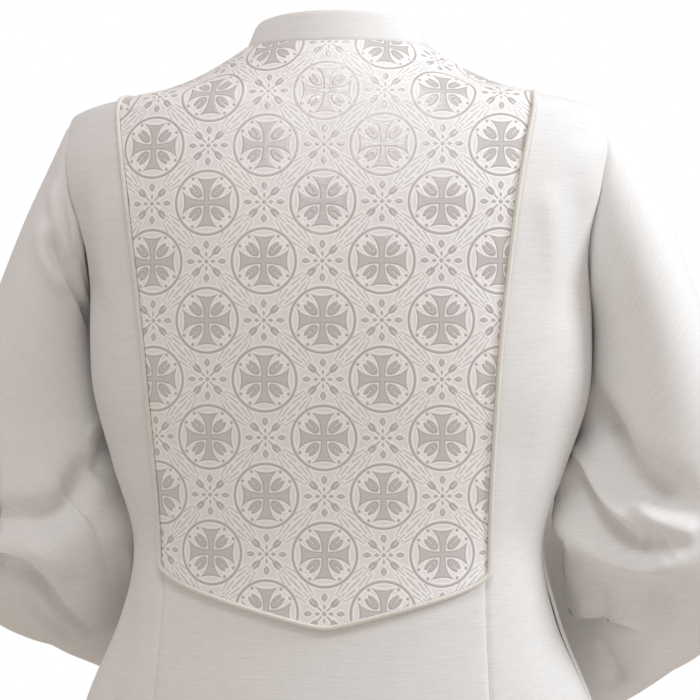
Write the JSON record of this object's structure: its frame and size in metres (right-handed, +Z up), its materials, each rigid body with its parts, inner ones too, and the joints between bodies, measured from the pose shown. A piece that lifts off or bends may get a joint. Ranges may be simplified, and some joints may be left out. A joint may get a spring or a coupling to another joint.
{
  "type": "pulpit robe",
  "caption": "Full-length pulpit robe in worn form with a band collar, bell sleeves bent at the elbow, princess-seamed back and a corded brocade panel over the upper back.",
  "frame": {"origin": "middle of the neck opening at the height of the shoulder seams' neck ends, where the shoulders carry the robe", "axes": "+Z up along the robe, the robe faces -Y, +X is the wearer's left"},
  "size_m": [0.8519, 0.5046, 1.409],
  "materials": {
    "cloth": "satin",
    "brocade": "satin",
    "cord": "satin"
  },
  "bodies": {
    "root": {"collar": "cloth", "back_centre": "cloth", "back_side_left": "cloth", "back_side_right": "cloth", "front_left": "cloth", "front_right": "cloth", "sleeve_left": "cloth", "sleeve_right": "cloth", "brocade_panel": "brocade", "panel_cord": "cord"}
  },
  "joints": []
}
